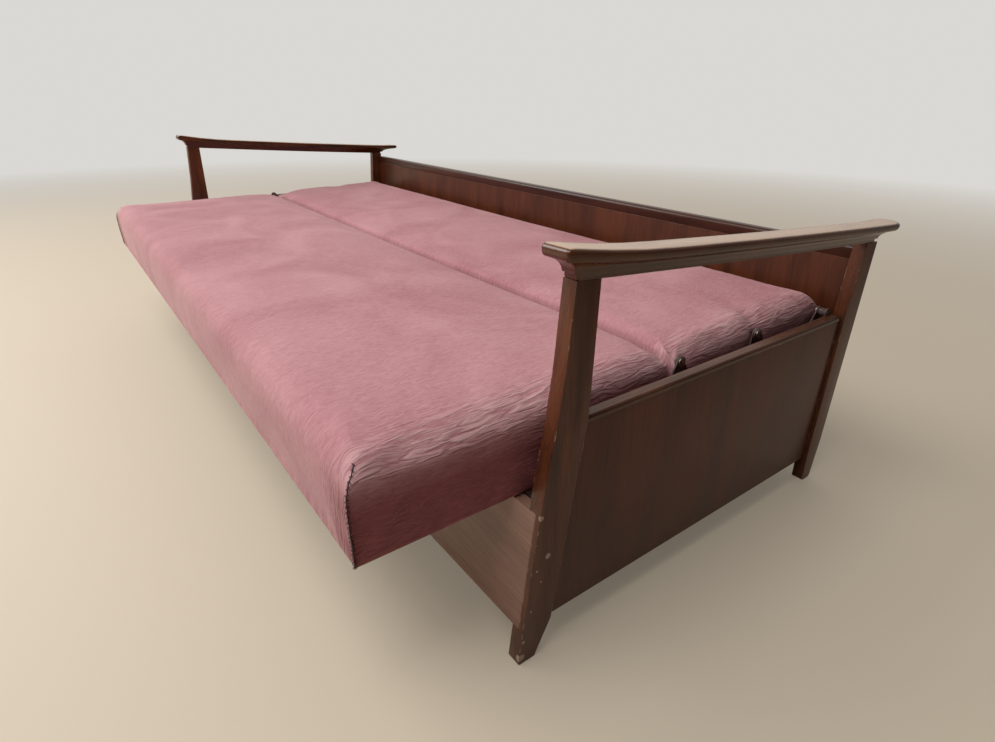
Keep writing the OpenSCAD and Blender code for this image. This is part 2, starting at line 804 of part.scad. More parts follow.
module hook_screws() {
    x = hook_x - plate_t;
    color(steel) for (side = [0, 1]) mirror([side, 0, 0]) for (y = hook_screw_y) {
        bar_along_x(y, hook_screw_z, x - screw_d * 0.4, x, screw_d * 2);
        bar_along_x(y, hook_screw_z, x, hook_screw_x, screw_d);
    }
}

// Cushions: a stack of rounded outlines from the crown down to the underside

ring_n = 8;
// Rectangle with rounded corners at height z, ring_n + 1 points a corner
function outline(half, y0, y1, corner, z) = let (
        r = min(corner, (y1 - y0) / 2 - 0.2),
        c = [[half - r, y1 - r], [-half + r, y1 - r], [-half + r, y0 + r], [half - r, y0 + r]])
    [for (k = [0:3]) for (i = [0:ring_n]) let (a = 90 * k + 90 * i / ring_n)
        [c[k][0] + r * cos(a), c[k][1] + r * sin(a), z]];

// Inset of a side at height z, from its swell, its top rounding and its bottom rounding
function round_in(d, r) = r - sqrt(max(0, r * r - pow(max(0, d), 2)));
function inset(z, z0, top_r, low_r) = swell * (1 - sin(180 * (z - z0) / (pad_top - z0)))
    + round_in(z - pad_top + top_r, top_r) + round_in(z0 + low_r - z, low_r);

crown_steps = [0.05, 0.15, 0.3, 0.5, 0.75, 0.97];
hem_r = 8;
function pad_rings(y0, y1, z0, rf, rr, heel) = let (
        half_d = (y1 - y0 - rf - rr) / 2 - swell,
        low = max(heel, hem_r),
        levels = concat(
            [for (a = [0:30:90]) z0 + low * (1 - cos(a))],
            [z0 + (pad_top - z0) * 0.55],
            [for (a = [0:15:90]) pad_top - pad_r + pad_r * sin(a)]))
    concat(
        [for (i = [len(crown_steps) - 1:-1:0]) let (e = crown_steps[i] * half_d)
            outline(pad_l - swell - pad_r - e, y0 + swell + rf + e, y1 - swell - rr - e,
                2 * corner_pad_r, pad_top + crown * (1 - pow(1 - crown_steps[i], 2)))],
        [for (i = [len(levels) - 1:-1:0]) let (z = levels[i])
            outline(pad_l - inset(z, z0, pad_r, hem_r), y0 + inset(z, z0, rf, hem_r),
                y1 - inset(z, z0, rr, low),
                corner_pad_r * (1 + max(0, z - pad_top + pad_r) / pad_r), z)]);

// Room under a cushion for its frame and webbing
module frame_room(y0, y1, z, h) {
    translate([-frame_x - gap, y0 - gap, z - 1])
        cube([2 * (frame_x + gap), y1 - y0 + 2 * gap, h + 2 * strap_t + gap + 1]);
}

module seat_cushion() {
    color(cloth) difference() {
        skin(pad_rings(seat_front, seat_rear, seat_z, pad_r, seam_r, 0));
        frame_room(seat_frame_y0, seat_frame_y1, seat_z, seat_bar_h);
        bolt_holes(seat_bolt_y, seat_bolt_z, bolt_d + 4 * gap);
    }
}

// The sides of the back cushion are drawn in at the middle pivots
dimple_r = 26;
module back_cushion() {
    color(cloth) difference() {
        skin(pad_rings(back_front, back_rear, back_z, seam_r, pad_r, heel_r));
        frame_room(back_frame_y0, back_frame_y1, back_z, back_bar_h);
        bolt_holes(back_bolt_y, back_bolt_z, bolt_d + 4 * gap);
        for (side = [-1, 1]) translate([side * (pad_l + dimple_r * 0.55), middle_y, pivot_z])
            sphere(r = dimple_r, $fn = 24);
    }
}

left() front_post();  // front_post_left
right() front_post();  // front_post_right
left() rear_post();  // rear_post_left
right() rear_post();  // rear_post_right
left() side_panel();  // side_panel_left
right() side_panel();  // side_panel_right
left() edge_band();  // edge_band_left
right() edge_band();  // edge_band_right
left() armrest();  // armrest_left
right() armrest();  // armrest_right
front_panel();
front_rail();
back_panel();
back_rail();
back_ledge();
left() runner();  // runner_left
right() runner();  // runner_right
box_floor();
floor_bearers();
corner_blocks();
panel_dowels();
left() arm_bracket();  // arm_bracket_left
right() arm_bracket();  // arm_bracket_right
bracket_screws();
rear_rivets();
left() swing_arm();  // swing_arm_left
right() swing_arm();  // swing_arm_right
left() back_plate();  // back_plate_left
right() back_plate();  // back_plate_right
middle_rivets();
seam_rivets();
back_bolts();
back_long_rails();
back_end_rails();
back_cross_rails();
back_webbing();
back_dust_cloth();
back_cushion();
left() seat_plate();  // seat_plate_left
right() seat_plate();  // seat_plate_right
seat_bolts();
seat_long_rails();
seat_end_rails();
seat_cross_rails();
seat_webbing();
seat_dust_cloth();
seat_hooks();
hook_screws();
seat_cushion();
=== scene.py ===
import math

import bmesh
import bpy
from mathutils import Matrix, Vector, noise


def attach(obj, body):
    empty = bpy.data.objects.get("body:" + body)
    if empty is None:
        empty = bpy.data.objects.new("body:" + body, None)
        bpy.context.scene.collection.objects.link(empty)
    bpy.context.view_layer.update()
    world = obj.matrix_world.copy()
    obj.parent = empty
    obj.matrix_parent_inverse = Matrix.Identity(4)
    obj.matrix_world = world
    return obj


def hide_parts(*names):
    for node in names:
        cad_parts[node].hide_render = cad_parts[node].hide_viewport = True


# The folding sofa bed's construction comes from the CAD model: its pieces stay where they are
# and get their wood, steel and cloth here. Everything is in metres.
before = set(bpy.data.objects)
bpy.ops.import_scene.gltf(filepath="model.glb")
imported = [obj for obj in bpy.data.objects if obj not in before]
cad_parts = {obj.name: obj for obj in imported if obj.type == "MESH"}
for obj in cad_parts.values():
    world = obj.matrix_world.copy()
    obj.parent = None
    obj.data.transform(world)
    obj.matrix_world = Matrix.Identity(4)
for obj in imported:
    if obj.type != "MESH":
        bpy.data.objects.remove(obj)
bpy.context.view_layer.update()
scene = bpy.context.scene


# Camera: where the photograph was taken from, 1.4 m to the right of the sofa's middle, 0.7 m in
# front of it and 0.72 m above the floor, with a wide lens. Turns are in radians.
camera_place = (1.4189, -0.6959, 0.7218)
focal_length_mm = 21.432
sensor_width_mm = 36
view_azimuth = 0.93186
view_elevation = 0.43991
view_roll = 0.0093
view_back = Vector((
    math.sin(view_azimuth) * math.cos(view_elevation),
    -math.cos(view_azimuth) * math.cos(view_elevation),
    math.sin(view_elevation)))
view_right = (-view_back).cross(Vector((0, 0, 1))).normalized()
view_up = view_right.cross(-view_back)
lens_right = math.cos(view_roll) * view_right + math.sin(view_roll) * view_up
lens_up = math.cos(view_roll) * view_up - math.sin(view_roll) * view_right
camera = bpy.data.objects.new("photo_camera", bpy.data.cameras.new("photo_camera"))
camera.data.sensor_width = sensor_width_mm
camera.data.sensor_fit = "HORIZONTAL"
camera.data.lens = focal_length_mm
camera.matrix_world = Matrix.Translation(camera_place) @ Matrix((
    (lens_right.x, lens_up.x, view_back.x, 0),
    (lens_right.y, lens_up.y, view_back.y, 0),
    (lens_right.z, lens_up.z, view_back.z, 0),
    (0, 0, 0, 1)))
scene.collection.objects.link(camera)
scene.camera = camera
scene.view_settings.view_transform = "Standard"


# Studio: a plain pale floor, a broad window light from the left, a smaller one from above and a
# weak fill, so that the right-hand end is in shade as in the photograph.
floor_half = 30
floor_below_feet = 0.0004
backdrop_colour = "#DAD8D4"


def linear(hex_colour):
    channels = [int(hex_colour[i:i + 2], 16) / 255 for i in (1, 3, 5)]
    return tuple(c / 12.92 if c <= 0.04045 else ((c + 0.055) / 1.055) ** 2.4
                 for c in channels) + (1.0,)


def wire(tree, node, links):
    """Gives a node its inputs: each is a value, or a socket to link from."""
    for key, value in links.items():
        if isinstance(value, bpy.types.NodeSocket):
            tree.links.new(value, node.inputs[key])
        else:
            node.inputs[key].default_value = value


def add(tree, kind, links=None, **settings):
    """One node with its settings and inputs."""
    node = tree.nodes.new(kind)
    for name, value in settings.items():
        setattr(node, name, value)
    wire(tree, node, links or {})
    return node


def blend(tree, share, first, second):
    """A colour that goes from the first to the second as the share goes from 0 to 1."""
    return add(tree, "ShaderNodeMix", {0: share, 6: first, 7: second},
               data_type="RGBA").outputs[2]


def spread(tree, value, low, high, to_low=0.0, to_high=1.0, ease="LINEAR"):
    """A value carried from one range to another, and held at the ends."""
    return add(tree, "ShaderNodeMapRange", {
        "Value": value, "From Min": low, "From Max": high, "To Min": to_low,
        "To Max": to_high}, interpolation_type=ease).outputs[0]


def reckon(tree, operation, *values):
    """One operation on one, two or three numbers."""
    return add(tree, "ShaderNodeMath", dict(enumerate(values)), operation=operation).outputs[0]


def new_finish(name):
    """A new material, its node tree and its main shader."""
    finish = bpy.data.materials.new(name)
    finish.use_nodes = True
    return finish, finish.node_tree, finish.node_tree.nodes["Principled BSDF"]


def plain_floor():
    """Fades into the backdrop far away, and keeps the sofa's shadow near it."""
    paint, tree, shader = new_finish("plain_floor")
    wire(tree, shader, {"Base Color": linear("#C6B8A4"), "Roughness": 0.55})
    place = add(tree, "ShaderNodeTexCoord").outputs["Object"]
    reach = add(tree, "ShaderNodeVectorMath", {0: place}, operation="LENGTH")
    far = spread(tree, reach.outputs["Value"], 1.6, 6.0)
    glow = blend(tree, far, linear("#CFC2AE"), linear(backdrop_colour))
    pale = add(tree, "ShaderNodeEmission", {"Color": glow})
    seen = add(tree, "ShaderNodeLightPath").outputs["Is Camera Ray"]
    share = reckon(tree, "MULTIPLY", seen, spread(tree, far, 0.0, 1.0, 0.22, 1.0))
    both = add(tree, "ShaderNodeMixShader", {0: share, 1: shader.outputs[0],
                                             2: pale.outputs[0]})
    tree.links.new(both.outputs[0], tree.nodes["Material Output"].inputs[0])
    return paint


floor_mesh = bpy.data.meshes.new("floor")
floor_mesh.from_pydata([(x, y, -floor_below_feet) for x, y in (
    (-floor_half, -floor_half), (floor_half, -floor_half), (floor_half, floor_half),
    (-floor_half, floor_half))], [], [(0, 1, 2, 3)])
floor_mesh.materials.append(plain_floor())
floor = bpy.data.objects.new("floor", floor_mesh)
scene.collection.objects.link(floor)

# The room around is bright towards the window on the left and dim on the right.
world = bpy.data.worlds.new("studio")
scene.world = world
world.use_nodes = True
sky = world.node_tree
sky.nodes.clear()
seen = add(sky, "ShaderNodeLightPath").outputs["Is Camera Ray"]
around = add(sky, "ShaderNodeTexCoord").outputs["Generated"]
sideways = add(sky, "ShaderNodeSeparateXYZ", {"Vector": around}).outputs["X"]
fill = add(sky, "ShaderNodeBackground", {
    "Color": linear("#F3EFEA"), "Strength": spread(sky, sideways, -0.7, 0.6, 0.66, 0.08)})
backdrop = add(sky, "ShaderNodeBackground", {"Color": linear(backdrop_colour),
                                             "Strength": 1.0})
both = add(sky, "ShaderNodeMixShader", {0: seen, 1: fill.outputs[0], 2: backdrop.outputs[0]})
add(sky, "ShaderNodeOutputWorld", {"Surface": both.outputs[0]})


def soft_light(name, place, width, height, watts, colour):
    """A rectangular light that points at the box of the sofa."""
    lamp = bpy.data.lights.new(name, "AREA")
    lamp.shape = "RECTANGLE"
    lamp.size = width
    lamp.size_y = height
    lamp.energy = watts
    lamp.color = colour
    holder = bpy.data.objects.new(name, lamp)
    holder.location = place
    holder.rotation_mode = "QUATERNION"
    aim = Vector((0, 0, 0.3)) - Vector(place)
    holder.rotation_quaternion = aim.to_track_quat("-Z", "Y")
    scene.collection.objects.link(holder)


soft_light("window_light", (-2.9, -2.3, 2.8), width=3.2, height=2.6, watts=138,
           colour=(1.0, 0.985, 0.965))
soft_light("ceiling_light", (0.5, -1.5, 3.3), width=2.6, height=1.8, watts=76,
           colour=(1.0, 0.985, 0.97))


# Posts: four legs sawn from 22 mm stained beech, raked at the front, under gloss varnish. Their
# arrises are eased with abrasive paper and have lost varnish where shoes and hands knock them.
post_ease = 0.0022
scuffed_height = 0.1
bare_beech = "#A58C78"


def grained(tree, place, along, width_mm, stretch, **noise_inputs):
    """Noise as wide as given across the wood, and stretched along one axis of it."""
    scale = [1000 / width_mm] * 3
    scale["XYZ".index(along)] /= stretch
    drawn_out = add(tree, "ShaderNodeMapping", {"Vector": place, "Scale": scale})
    return add(tree, "ShaderNodeTexNoise", {"Vector": drawn_out.outputs[0], "Scale": 1.0,
                                            **noise_inputs}).outputs["Fac"]


def lost_varnish(tree, place, wear, chips):
    """Specks along the arrises, more of them near the floor, and single chips on the faces,
    each given by its place and radius."""
    rounded = add(tree, "ShaderNodeBevel", {"Radius": post_ease}, samples=6)
    flat = add(tree, "ShaderNodeNewGeometry")
    alike = add(tree, "ShaderNodeVectorMath", {0: rounded.outputs[0],
                                               1: flat.outputs["Normal"]},
                operation="DOT_PRODUCT").outputs["Value"]
    arris = spread(tree, alike, 0.985, 0.86)
    knocks = add(tree, "ShaderNodeTexNoise", {"Vector": place, "Scale": 75.0,
                                              "Detail": 3.0}).outputs["Fac"]
    height = add(tree, "ShaderNodeSeparateXYZ", {"Vector": place}).outputs["Z"]
    scuffs = spread(tree, height, scuffed_height, 0.0, 0.0, 0.1)
    hit = reckon(tree, "ADD", knocks, scuffs)
    specks = spread(tree, hit, 0.68 - 0.1 * wear, 0.72 - 0.1 * wear)
    lost = reckon(tree, "MULTIPLY", arris, specks)
    for x, y, z, radius in chips:
        reach = add(tree, "ShaderNodeVectorMath", {0: place, 1: (x, y, z)},
                    operation="DISTANCE").outputs["Value"]
        ragged = reckon(tree, "MULTIPLY_ADD", knocks, radius * 1.2, reach)
        lost = reckon(tree, "MAXIMUM", lost,
                      spread(tree, ragged, radius * 1.75, radius * 1.45))
    return lost


def varnished(name, dark, light, along, streak_mm, figure_mm, rough=0.32, gloss=0.35,
              wear=0.0, chips=(), painted_top_reflection=None):
    """Stained wood under a clear coat: darker pores as streaks along one axis and a slow cloudy
    figure. With wear it has lost varnish, and with a top colour its up-facing top is painted
    paler, as a painted reflection of the bright room on the gloss."""
    wood, tree, shader = new_finish(name)
    place = add(tree, "ShaderNodeTexCoord").outputs["Object"]
    pores = grained(tree, place, along, streak_mm, stretch=28, Detail=4.0, Roughness=0.6)
    figure = grained(tree, place, along, figure_mm, stretch=6, Detail=3.0, Distortion=0.7)
    streaks = spread(tree, pores, 0.34, 0.66, 0.0, 0.4)
    clouds = spread(tree, figure, 0.32, 0.68, 0.0, 0.6)
    tone = reckon(tree, "ADD", streaks, clouds)
    colour = blend(tree, tone, linear(dark), linear(light))
    # Painted reflection: faces turned up are paler, standing in for the bright room seen in the
    # gloss.
    if painted_top_reflection:
        normal = add(tree, "ShaderNodeNewGeometry").outputs["Normal"]
        facing_up = add(tree, "ShaderNodeSeparateXYZ", {"Vector": normal}).outputs["Z"]
        on_top = spread(tree, facing_up, 0.9, 0.985, 0.0, 0.75)
        uneven = reckon(tree, "MULTIPLY_ADD", on_top, clouds, on_top)
        colour = blend(tree, uneven, colour, linear(painted_top_reflection))
    if wear:
        lost = lost_varnish(tree, place, wear, chips)
        colour = blend(tree, lost, colour, linear(bare_beech))
    ripple = add(tree, "ShaderNodeTexNoise", {"Vector": place, "Scale": 38.0, "Detail": 1.0})
    open_pores = add(tree, "ShaderNodeBump", {"Height": pores, "Strength": 0.12,
                                              "Distance": 0.0006})
    skin = add(tree, "ShaderNodeBump", {"Height": ripple.outputs["Fac"], "Strength": 0.09,
                                        "Distance": 0.0015})
    wire(tree, shader, {
        "Base Color": colour,
        "Roughness": spread(tree, figure, 0.0, 1.0, rough - 0.06, rough + 0.08),
        "Normal": open_pores.outputs[0], "Coat Normal": skin.outputs[0],
        "Specular IOR Level": 0.25, "Coat Weight": gloss, "Coat Roughness": 0.14})
    return wood


weld_gap = 2e-5
flat_turn = math.radians(1.5)
arris_turn = math.radians(25)


def solid_again(node, join_flats):
    """The CAD solid as a mesh of its own, with its points welded and, where asked, the
    triangles of each flat joined into one face."""
    form = bmesh.new()
    form.from_mesh(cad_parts[node].data)
    bmesh.ops.remove_doubles(form, verts=form.verts, dist=weld_gap)
    if join_flats:
        bmesh.ops.dissolve_limit(form, angle_limit=flat_turn, verts=form.verts,
                                 edges=form.edges)
    mesh = bpy.data.meshes.new(node + "_wood")
    form.to_mesh(mesh)
    form.free()
    mesh.shade_smooth()
    return mesh


def settle(piece, material):
    """Turns what a piece's modifiers make into its plain mesh, in one material."""
    shaped = bpy.data.meshes.new_from_object(
        piece.evaluated_get(bpy.context.evaluated_depsgraph_get()))
    piece.modifiers.clear()
    piece.data = shaped
    shaped.materials.clear()
    shaped.materials.append(material)


def eased(node, ease, material):
    """A piece of the carcase with its arrises rounded by a small real radius."""
    piece = bpy.data.objects.new(node + "_wood", solid_again(node, join_flats=True))
    scene.collection.objects.link(piece)
    arrises = piece.modifiers.new("eased_arris", "BEVEL")
    arrises.width = ease
    arrises.segments = 3
    arrises.limit_method = "ANGLE"
    arrises.angle_limit = arris_turn
    arrises.harden_normals = True
    settle(piece, material)
    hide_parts(node)
    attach(piece, "carcase")


# Chips on the near front post's outer face, from its middle down to the foot: each one's place
# and radius.
post_chips = ((0.980, -0.3003, 0.242, 0.0036), (0.980, -0.2849, 0.174, 0.0046),
              (0.980, -0.3027, 0.157, 0.0018), (0.980, -0.2948, 0.135, 0.0016),
              (0.980, -0.310, 0.090, 0.0016), (0.976, -0.3164, 0.076, 0.0022),
              (0.979, -0.3248, 0.012, 0.0060), (0.979, -0.3215, 0.040, 0.0024))
post_wood = varnished("stained_beech_post", "#34180D", "#6F3E25", "Z", streak_mm=1.6,
                      figure_mm=38, gloss=0.25, wear=1.0, chips=post_chips)
for end in ("left", "right"):
    eased("front_post_" + end, post_ease, post_wood)
    eased("rear_post_" + end, post_ease, post_wood)


# Armrests: each is one length of the same wood, planed to a moulding with a broad flat top, a
# thick rounded lip and a cove under it, and carved to a lifted nose in front.
# The pale top colour given to the armrests is a painted reflection of the bright room on their
# gloss.
arm_wood = varnished("stained_beech_arm", "#33180B", "#643619", "Y", streak_mm=1.8,
                     figure_mm=30, rough=0.24, gloss=0.45, painted_top_reflection="#BC9C80")


def planed(node, sharp_turn, material):
    """A moulding of the carcase, its broad faces shaded flat and its narrow ones round, as a
    plane and a scraper leave them. Edges that turn by more degrees than given stay sharp."""
    mesh = solid_again(node, join_flats=False)
    mesh.set_sharp_from_angle(angle=math.radians(sharp_turn))
    piece = bpy.data.objects.new(node + "_wood", mesh)
    scene.collection.objects.link(piece)
    even = piece.modifiers.new("even_flats", "WEIGHTED_NORMAL")
    even.keep_sharp = True
    even.weight = 80
    settle(piece, material)
    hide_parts(node)
    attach(piece, "carcase")


for end in ("left", "right"):
    planed("armrest_" + end, sharp_turn=37, material=arm_wood)


# Box: the side and front panels are veneered board, the side ones framed by a solid lipping
# that stands a little proud; the rear panel shows a redder, striped veneer.
veneer_ease = 0.0006
side_veneer = varnished("walnut_veneer_side", "#391810", "#66321D", "Z", streak_mm=2.2,
                        figure_mm=75, gloss=0.14)
# The front panel's walnut is painted much paler and greyer than the side panels': a painted
# reflection of the pale floor on its gloss.
front_veneer_painted_reflection = varnished("walnut_veneer_front_painted_reflection", "#704E40", "#9E7967", "X", streak_mm=2.2,
                         figure_mm=70, gloss=0.4, wear=0.35)
back_veneer = varnished("sapele_veneer_back", "#2E1207", "#5A2A10", "Z", streak_mm=2.6,
                        figure_mm=45, gloss=0.1)
lipping = varnished("stained_beech_lipping", "#361C10", "#68402A", "Y", streak_mm=1.6,
                    figure_mm=40, rough=0.26, gloss=0.35, wear=0.3)
for end in ("left", "right"):
    eased("side_panel_" + end, veneer_ease, side_veneer)
    planed("edge_band_" + end, sharp_turn=32, material=lipping)
eased("front_panel", 2 * veneer_ease, front_veneer_painted_reflection)
eased("back_panel", veneer_ease, back_veneer)


# Back rail: a solid moulded rail with a round nosing in front. It caps the rear panel and is
# stained darker than the rest.
rail_ease = 0.0015
rail_wood = varnished("stained_beech_rail", "#28110A", "#482414", "X", streak_mm=1.8,
                      figure_mm=40, rough=0.3, gloss=0.1, wear=0.5)
eased("back_rail", rail_ease, rail_wood)


# Inside of the box: sawn softwood rails, runners and blocks, and a hardboard floor, left dull
# and slightly furry. What shows past the open seat is painted dark, as painted shade.
def bare_wood(name, dark, light, along, streak_mm):
    wood, tree, shader = new_finish(name)
    place = add(tree, "ShaderNodeTexCoord").outputs["Object"]
    fibres = grained(tree, place, along, streak_mm, stretch=22, Detail=5.0, Distortion=0.4)
    colour = blend(tree, spread(tree, fibres, 0.3, 0.7), linear(dark), linear(light))
    fur = add(tree, "ShaderNodeBump", {"Height": fibres, "Strength": 0.35, "Distance": 0.001})
    wire(tree, shader, {"Base Color": colour, "Normal": fur.outputs[0], "Roughness": 0.78})
    return wood


def finish_nodes(material, *nodes):
    """Gives CAD pieces that stay as they are their real finish."""
    for node in nodes:
        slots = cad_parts[node].data.materials
        for i in range(len(slots)):
            slots[i] = material


pine = ("#8E6B45", "#C3A077")
# Painted shade: a dark copy of the pine's colour for the parts that show past the open seat,
# standing in for the shade of the gaps there.
painted_shade_pine = ("#2A170F", "#4A2C1D")
finish_nodes(bare_wood("sawn_pine_long", *pine, "X", 5), "back_long_rails", "seat_long_rails")
finish_nodes(bare_wood("sawn_pine_deep", *pine, "Y", 5), "floor_bearers", "panel_dowels",
             "back_end_rails", "seat_end_rails", "back_cross_rails", "seat_cross_rails")
finish_nodes(bare_wood("sawn_pine_upright", *pine, "Z", 5), "corner_blocks")
finish_nodes(bare_wood("hardboard", "#7E5F40", "#A2825A", "X", 1.5), "box_floor")
finish_nodes(bare_wood("painted_shade_pine_long", *painted_shade_pine, "X", 5), "front_rail", "back_ledge")
finish_nodes(bare_wood("painted_shade_pine_deep", *painted_shade_pine, "Y", 5), "runner_left",
             "runner_right")


# Linkage: pressed steel plates and swing arms under old enamel, which is worn through to the
# steel in small spots. The enamel's dark brown is painted shade, so that plates and arms read
# as the shade of the slots and dimples they sit in. The rivets, bolts and screws are bare,
# rubbed steel.
def mottled(name, spots_per_m, dark, light, smoothest, roughest, under=None):
    """Steel, or an enamel with steel under it that shows in worn spots, with a fine uneven
    bloom in its colour and its dullness."""
    skin, tree, shader = new_finish(name)
    place = add(tree, "ShaderNodeTexCoord").outputs["Object"]
    bloom = add(tree, "ShaderNodeTexNoise", {"Vector": place, "Scale": spots_per_m,
                                             "Detail": 5.0}).outputs["Fac"]
    colour = blend(tree, spread(tree, bloom, 0.35, 0.65), linear(dark), linear(light))
    bare = 1.0
    if under:
        bare = spread(tree, bloom, 0.66, 0.68)
        colour = blend(tree, bare, colour, linear(under))
    wire(tree, shader, {"Base Color": colour, "Metallic": bare, "Roughness": spread(
        tree, bloom, 0.0, 1.0, smoothest, roughest)})
    return skin


# Painted shade: the enamel's dark brown stands in for the shade around the plates and arms.
shade_dark_enamel = mottled("shade_dark_enamel_on_steel", 140.0, "#3C2825", "#594340", smoothest=0.6,
                 roughest=0.8, under="#8E8780")
rubbed_steel = mottled("rubbed_steel", 210.0, "#8C8680", "#BDB6AE", smoothest=0.28,
                       roughest=0.5)
finish_nodes(shade_dark_enamel, "swing_arm_left", "swing_arm_right", "back_plate_left",
             "back_plate_right", "seat_plate_left", "seat_plate_right", "arm_bracket_left",
             "arm_bracket_right", "seat_hooks")
finish_nodes(rubbed_steel, "bracket_screws", "rear_rivets", "middle_rivets", "seam_rivets",
             "back_bolts", "seat_bolts", "hook_screws")


# Webbing and dust cloth: crossed jute straps nailed over each frame, and a thin dark cloth
# below it that keeps the dust out of the bedding box.
def woven(name, dark, light, thread_mm):
    cloth, tree, shader = new_finish(name)
    place = add(tree, "ShaderNodeTexCoord").outputs["Object"]
    turn = math.pi * 1000 / thread_mm
    scaled = add(tree, "ShaderNodeVectorMath", {0: place, 1: (turn, turn, turn)},
                 operation="MULTIPLY")
    parts = add(tree, "ShaderNodeSeparateXYZ", {"Vector": scaled.outputs[0]})
    warp = reckon(tree, "SINE", parts.outputs["X"])
    weft = reckon(tree, "SINE", parts.outputs["Y"])
    over = spread(tree, reckon(tree, "MULTIPLY", warp, weft), -1.0, 1.0)
    raised = add(tree, "ShaderNodeBump", {"Height": over, "Strength": 0.5,
                                          "Distance": 0.0006})
    wire(tree, shader, {"Base Color": blend(tree, over, linear(dark), linear(light)),
                        "Normal": raised.outputs[0], "Roughness": 0.9})
    return cloth


finish_nodes(woven("jute_webbing", "#6E5E3F", "#A08D66", 2.4), "back_webbing", "seat_webbing")
finish_nodes(woven("cotton_dust_cloth", "#211D1B", "#3A3431", 1.6), "back_dust_cloth",
             "seat_dust_cloth")


# Cushions: foam over the webbed frames, covered in crinkled rayon velour, dusty mauve. Each cover
# is drawn over its frame and tacked below it, and the seat's two front corners are closed by
# hand. The top lies in lighter and darker clouds; the lower part of each end is painted deeper as
# painted shade, and the rounded edge over each end paler as a painted highlight.
half_length = 0.936
cushion_top = 0.374
end_round = 0.025
side_swell = 0.006
crown = 0.004
seat_front, seat_rear, seat_foot = -0.531, -0.005, 0.245
back_front, back_rear, back_foot = -0.003, 0.410, 0.272
# Each frame lies 12.7 mm inside its cover, and the back's frame stops further in at the rear.
frame_in = 0.0127
back_frame_rear = 0.3663
seat_frame_height, back_frame_height = 0.0433, 0.0363
dimple_place = 0.226


def rayon_velour():
    """Crinkled all over and creased over the ends, with painted shade deeper on the lower ends
    and a painted highlight pale in patches on the rounded edge over each end.
    """
    velour, tree, shader = new_finish("rayon_velour")
    place = add(tree, "ShaderNodeTexCoord").outputs["Object"]
    lay = add(tree, "ShaderNodeUVMap", uv_map="cloth_lay").outputs["UV"]
    # Crinkles some 4 mm apart and 16 mm long, running with the depth of the seat.
    crinkle_place = add(tree, "ShaderNodeMapping", {"Vector": lay, "Scale": (235, 64, 1)})
    crinkle = add(tree, "ShaderNodeTexNoise", {
        "Vector": crinkle_place.outputs[0], "Scale": 1.0, "Detail": 2.0, "Roughness": 0.45,
        "Distortion": 1.1}, noise_dimensions="2D").outputs["Fac"]
    # Longer creases where the cloth was pulled over the ends.
    crease_place = add(tree, "ShaderNodeMapping", {"Vector": lay, "Scale": (160, 24, 1)})
    crease = add(tree, "ShaderNodeTexNoise", {
        "Vector": crease_place.outputs[0], "Scale": 1.0, "Detail": 1.5,
        "Distortion": 0.9}, noise_dimensions="2D").outputs["Fac"]
    along = add(tree, "ShaderNodeSeparateXYZ", {"Vector": place})
    out = reckon(tree, "ABSOLUTE", along.outputs["X"])
    near_end = spread(tree, out, 0.84, 0.925, ease="SMOOTHSTEP")
    cloud = add(tree, "ShaderNodeTexNoise", {"Vector": place, "Scale": 5.0, "Detail": 3.0,
                                             "Distortion": 0.8}).outputs["Fac"]
    ridge = spread(tree, crinkle, 0.3, 0.7, 0.0, 0.42)
    nap = spread(tree, cloud, 0.32, 0.68, 0.0, 0.58)
    tone = reckon(tree, "ADD", ridge, nap)
    cloth_colour = blend(tree, tone, linear("#985F66"), linear("#BB898D"))
    # Painted shade: a deeper copy of the cloth's colour on the lower part of each end, where the
    # end faces lie in shade.
    deep = blend(tree, tone, linear("#783A3E"), linear("#9A565A"))
    low_part = spread(tree, along.outputs["Z"], 0.352, 0.315)
    painted_shade_share = reckon(tree, "MULTIPLY", near_end, low_part)
    colour = blend(tree, painted_shade_share, cloth_colour, deep)
    # Painted highlight: the rounded edge over each end is painted pale in patches, where light
    # catches it.
    edge = spread(tree, out, 0.86, 0.925, ease="SMOOTHSTEP")
    edge_top = spread(tree, along.outputs["Z"], 0.335, 0.36, ease="SMOOTHSTEP")
    patches = spread(tree, crease, 0.35, 0.75, 0.0, 0.75)
    painted_edge_highlight = reckon(tree, "MULTIPLY", reckon(tree, "MULTIPLY", edge, edge_top), patches)
    colour = blend(tree, painted_edge_highlight, colour, linear("#D2AEAD"))
    raised = add(tree, "ShaderNodeBump", {"Height": crinkle, "Strength": 0.5,
                                          "Distance": 0.0012})
    pulled = add(tree, "ShaderNodeBump", {
        "Height": reckon(tree, "MULTIPLY", crease, near_end), "Strength": 0.9,
        "Distance": 0.003, "Normal": raised.outputs[0]})
    wire(tree, shader, {"Base Color": colour, "Normal": pulled.outputs[0], "Roughness": 0.9,
                        "Sheen Weight": 0.3, "Sheen Roughness": 0.4,
                        "Sheen Tint": linear("#E8CFCE")})
    return velour


def grid_lines(low, high, round_low, round_high, pitch=0.009):
    """Lines across a cushion, closer over its rounded edges: place, place measured along
    the cloth, and 1 on the flat down to 0 at the edge."""
    lines = []
    steps = max(3, round(round_low * math.pi / 2 / pitch))
    for i in range(steps):
        turn = math.pi / 2 * i / steps
        lines.append((low + round_low * (1 - math.cos(turn)),
                      low + round_low * (1 - math.pi / 2 + turn), math.sin(turn)))
    flat = max(1, round((high - low - round_low - round_high) / pitch))
    for i in range(flat + 1):
        x = low + round_low + (high - low - round_low - round_high) * i / flat
        lines.append((x, x, 1.0))
    steps = max(3, round(round_high * math.pi / 2 / pitch))
    for i in range(1, steps + 1):
        turn = math.pi / 2 * i / steps
        lines.append((high - round_high * (1 - math.sin(turn)),
                      high - round_high * (1 - turn), math.cos(turn)))
    return lines


